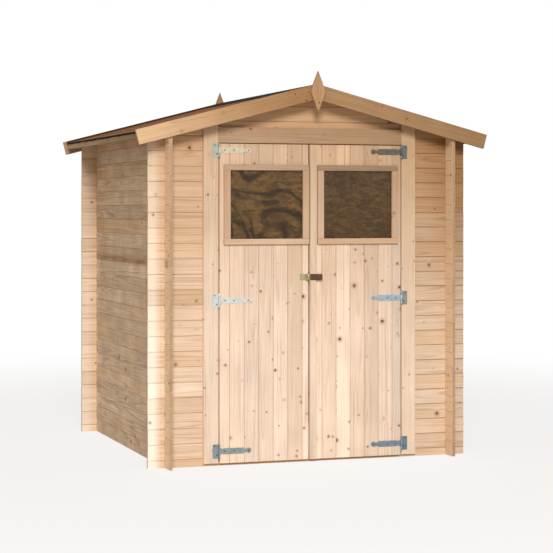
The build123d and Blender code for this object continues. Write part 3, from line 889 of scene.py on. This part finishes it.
# Door leaves: upright boards, cut out for the window, with ledges behind and a frame round the glass

leaves = {"left": (-1, 56.5 * mm), "right": (1, 60.5 * mm)}   # side, and the first seam from the middle
leaf = {
    "boardWidth": 84.4 * mm,
    "seamCount": 6,
    "chamfer": 2.0 * mm,
    "gap": 0.12 * mm,
    "arris": 0.7 * mm,
    "panePlay": Vector((0.3 * mm, 50 * mm, 0.3 * mm)),
    "toneForWidth": 12.0,     # for each metre of a board's width: narrow ones differ less in tone
    "stile": 37 * mm,
    "rail": 31 * mm,
    "bead": 14 * mm,
    "frameSeam": 0.15 * mm,
    "ledgeHeight": 68 * mm,
    "ledgeFeet": [50 * mm, 869.5 * mm, 1664 * mm],
    "stripArris": 2.2 * mm,
}


def doorBoards(name, seams):
    low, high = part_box(name + "_door_boards")
    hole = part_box(name + "_door_pane")
    edges = sorted([low.x, high.x] + seams)
    parts = []
    for left, right in zip(edges, edges[1:]):
        a = left + (leaf["gap"] if left > low.x + mm else 0)
        b = right - (leaf["gap"] if right < high.x - mm else 0)
        board = block((a, low.y, low.z), (b, high.y, high.z))
        bevelEdges(board, lambda p, q: abs(p.z - q.z) > 1.0, leaf["chamfer"])
        if a < hole[1].x and b > hole[0].x:
            carve(board, block(hole[0] - leaf["panePlay"], hole[1] + leaf["panePlay"]), spent=True)
        ease(board, leaf["arris"], segments=1, angle_limit=sharp)
        spread = leaf["toneForWidth"] * (b - a)
        parts.append(layGrain(board, axisZ, axisX, tone=0.2, spread=spread, jointShade=0.28))
    return parts


def frameRound(node, stile, rail, arris):  # two rails over the full width and two stiles between them
    low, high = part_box(node)
    seam = leaf["frameSeam"]
    parts = []
    for z in ((low.z, low.z + rail), (high.z - rail, high.z)):
        tone = -2.0 if z[1] == high.z else 0.0
        parts.append(easedBoard((low.x, low.y, z[0]), (high.x, high.y, z[1]), axisX, axisZ, arris, tone=tone))
    for x in ((low.x, low.x + stile), (high.x - stile, high.x)):
        foot, head = low.z + rail + seam, high.z - rail - seam
        parts.append(easedBoard((x[0], low.y, foot), (x[1], high.y, head), axisZ, axisX, arris))
    return parts


for name, (side, firstSeam) in leaves.items():
    body = name + "_door"
    seams = [side * (firstSeam + leaf["boardWidth"] * i) for i in range(leaf["seamCount"])]
    join(body + "_planks", doorBoards(name, seams), body, doorWood, [body + "_boards"])
    low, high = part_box(body + "_ledges")
    ledges = []
    for foot in leaf["ledgeFeet"]:
        head = foot + leaf["ledgeHeight"]
        ledges.append(easedBoard((low.x, low.y, foot), (high.x, high.y, head), axisX, axisZ))
    trimPiece(body + "_ledge_boards", body, [body + "_ledges"], ledges)
    casing = frameRound(body + "_window_trim", leaf["stile"], leaf["rail"], boards["arris"])
    trimPiece(body + "_window_casing", body, [body + "_window_trim"], casing)
    beads = frameRound(body + "_window_bead", leaf["bead"], leaf["bead"], boards["fineArris"])
    trimPiece(body + "_window_beads", body, [body + "_window_bead"], beads)
low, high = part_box("right_door_meeting_strip")
strip = easedBoard(low, high, axisZ, axisX, leaf["stripArris"])
trimPiece("right_door_cover_strip", "right_door", ["right_door_meeting_strip"], [strip], jambWood)
print("door leaves hung")


# Solids that keep their own shape

plain = {
    postWood: ("door_post_left", "door_post_right"),
    railWood: ("door_head", "threshold"),
    purlinWood: ("ridge_purlin", "left_purlin", "right_purlin"),
    feltSheet: ("roof_felt_left", "roof_felt_right"),
    feltRidge: ("ridge_felt_cap",),
    acrylic: ("left_door_pane", "right_door_pane"),
}
for finish, names in plain.items():
    for name in names:
        dressNode(name, finish)
iron = {"weld": 0.01 * mm, "arris": 0.35 * mm, "sharp": math.radians(40)}
ironwork = {
    "hinge_plates_left": zincPlateLeft,
    "hinge_plates_right": zincPlateRight,
    "left_door_hinge_straps": zincLeft,
    "right_door_hinge_straps": zincRight,
    "left_door_hasp_plate": haspPlate,
    "right_door_hasp_flap": haspFlap,
    "right_door_hasp_staple": zincScrew,
}
for name, finish in ironwork.items():
    dressNode(name, finish)
    weld = nodes[name].modifiers.new("weld", "WELD")
    weld.merge_threshold = iron["weld"]
    bevel = nodes[name].modifiers.new("arris", "BEVEL")
    bevel.width = iron["arris"]
    bevel.segments = 1
    bevel.limit_method = "ANGLE"
    bevel.angle_limit = iron["sharp"]


# Screws: one cross-headed screw is modelled and copied into every hole

screws = {
    "radius": 4.0 * mm,
    "rise": 1.3 * mm,
    "sides": 14,
    "headRound": 0.7 * mm,
    "slot": 1.1 * mm,
    "slotDepth": 0.8 * mm,
    "slotReach": 0.62,        # as a share of the radius
    "strapThickness": 2.5 * mm,
    "plateThickness": 3 * mm,
    "strapPlaces": [33 * mm, 86 * mm, 170 * mm],                # from the pin
    "platePlaces": [(25 * mm, 29 * mm), (13 * mm, -20 * mm)],   # from the pin, and from the plate's middle
    "hingeZ": [80 * mm, 903.5 * mm, 1727 * mm],
    "pinX": 538.5 * mm,
}


def makeScrew():  # stands on Y = 0 and looks along -Y
    front, radius = -screws["rise"], screws["radius"]
    bpy.ops.mesh.primitive_cylinder_add(vertices=screws["sides"], radius=radius, depth=-front,
                                        location=(0, front / 2, 0), rotation=facingDoors)
    screw = bpy.context.active_object
    settle(screw)
    bevelEdges(screw, lambda a, b: max(a.y, b.y) < front / 2, screws["headRound"], 2)
    slot, reach = screws["slot"] / 2, radius * screws["slotReach"]
    for x, z in ((slot, reach), (reach, slot)):
        low, high = (-x, front - walls["cutterPast"], -z), (x, front + screws["slotDepth"], z)
        carve(screw, block(low, high), spent=True)
    return screw


screwMaster = makeScrew()


def driveScrews(name, body, places):
    parts = [copyTo(screwMaster, place) for place in places]
    join(name, parts, body, zincScrew)


for name, (side, firstSeam) in leaves.items():
    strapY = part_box(name + "_door_boards")[0].y - screws["strapThickness"]
    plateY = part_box("hinge_plates_" + name)[1].y - screws["plateThickness"]
    strap, plate = [], []
    for z in screws["hingeZ"]:
        strap += [(side * (screws["pinX"] - d), strapY, z) for d in screws["strapPlaces"]]
        plate += [(side * (screws["pinX"] + dx), plateY, z + dz) for dx, dz in screws["platePlaces"]]
    driveScrews(name + "_door_strap_screws", name + "_door", strap)
    driveScrews("hinge_plate_screws_" + name, "shed", plate)
scrap(screwMaster)
print("ironmongery screwed on")


# Studio: pale floor, one soft key lamp from the front left, and an even pale surround

studio = {
    "keyPlace": (-6.4, -21.5, 12.2),
    "keyAim": (0.0, -0.6, 0.9),
    "keySize": 7.0,
    "keyPower": 4650.0,
    "keyTone": "#FFFBF8",
    "surround": 0.28,
    "surroundTone": "#FFEFDA",
    "white": "#FFFFFF",
    "floorHalf": 60.0,
    "floorDrop": 0.2 * mm,
    "floorTone": "#EFECE7",
    "floorRoughness": 0.9,
    "floorGlow": 0.76,        # how much of the floor's own white the camera sees by the shed
    "glowNear": 2.0,          # from here outwards the floor pales into the backdrop
    "glowFar": 7.0,
}

bpy.ops.mesh.primitive_plane_add(size=2 * studio["floorHalf"], location=(0, 0, -studio["floorDrop"]))
floor = bpy.context.active_object
floor.name = "studio_floor"
matt = {"Base Color": linear(studio["floorTone"]), "Roughness": studio["floorRoughness"]}
paint, paintTree, paintSurface = newMaterial("mattFloorPaint", matt)
spot = addNode(paintTree, "TexCoord").outputs["Object"]
reach = addNode(paintTree, "VectorMath", {0: spot}, operation="LENGTH").outputs["Value"]
paling = (studio["glowNear"], studio["glowFar"], studio["floorGlow"], 1.0)
glow = addNode(paintTree, "MapRange", {0: reach, **span(paling)}, interpolation_type="SMOOTHSTEP").outputs[0]
seenBy = addNode(paintTree, "LightPath").outputs["Is Camera Ray"]
glow = addNode(paintTree, "Math", {0: glow, 1: seenBy}, operation="MULTIPLY").outputs[0]
white = addNode(paintTree, "Emission", {"Color": linear(studio["white"]), "Strength": 1.0})
blend = addNode(paintTree, "MixShader", {0: glow, 1: paintSurface.outputs[0], 2: white.outputs[0]})
paintTree.links.new(blend.outputs[0], paintTree.nodes["Material Output"].inputs["Surface"])
floor.data.materials.append(paint)

keyData = bpy.data.lights.new("keyLamp", "AREA")
keyData.energy = studio["keyPower"]
keyData.size = studio["keySize"]
keyData.color = linear(studio["keyTone"])[:3]
keyLamp = bpy.data.objects.new("keyLamp", keyData)
bpy.context.scene.collection.objects.link(keyLamp)
keyLamp.location = studio["keyPlace"]
aim = Vector(studio["keyAim"]) - Vector(studio["keyPlace"])
keyLamp.rotation_euler = aim.to_track_quat("-Z", "Y").to_euler()

world = bpy.data.worlds.new("paleSurround")
world.use_nodes = True
bpy.context.scene.world = world
sky = world.node_tree
sky.nodes.clear()
rays = addNode(sky, "LightPath").outputs
seen = rays["Is Camera Ray"]
for kind in ("Is Glossy Ray", "Is Transmission Ray"):
    seen = addNode(sky, "Math", {0: seen, 1: rays[kind]}, operation="MAXIMUM").outputs[0]
warm = linear(studio["surroundTone"])
ambient = addNode(sky, "Background", {"Color": warm, "Strength": studio["surround"]})
backdrop = addNode(sky, "Background", {"Color": linear(studio["white"]), "Strength": 1.0})
shown = addNode(sky, "MixShader", {0: seen, 1: ambient.outputs[0], 2: backdrop.outputs[0]})
addNode(sky, "OutputWorld", {"Surface": shown.outputs[0]})

# Camera: eye height, to the left of the doors, level, with the lens shifted down
camera = {
    "place": (-3.2795, -9.9491, 1.4093),
    "turn": (math.radians(90), 0, math.radians(-18.687)),
    "lens": {"sensor_width": 36, "lens": 113.0, "shift_x": -0.0004, "shift_y": -0.1234, "clip_end": 200},
}
cameraData = bpy.data.cameras.new("gardenView")
for key, value in camera["lens"].items():
    setattr(cameraData, key, value)
view = bpy.data.objects.new("gardenView", cameraData)
bpy.context.scene.collection.objects.link(view)
view.location = camera["place"]
view.rotation_euler = camera["turn"]
bpy.context.scene.camera = view
bpy.context.scene.view_settings.view_transform = "Standard"
print("studio set")
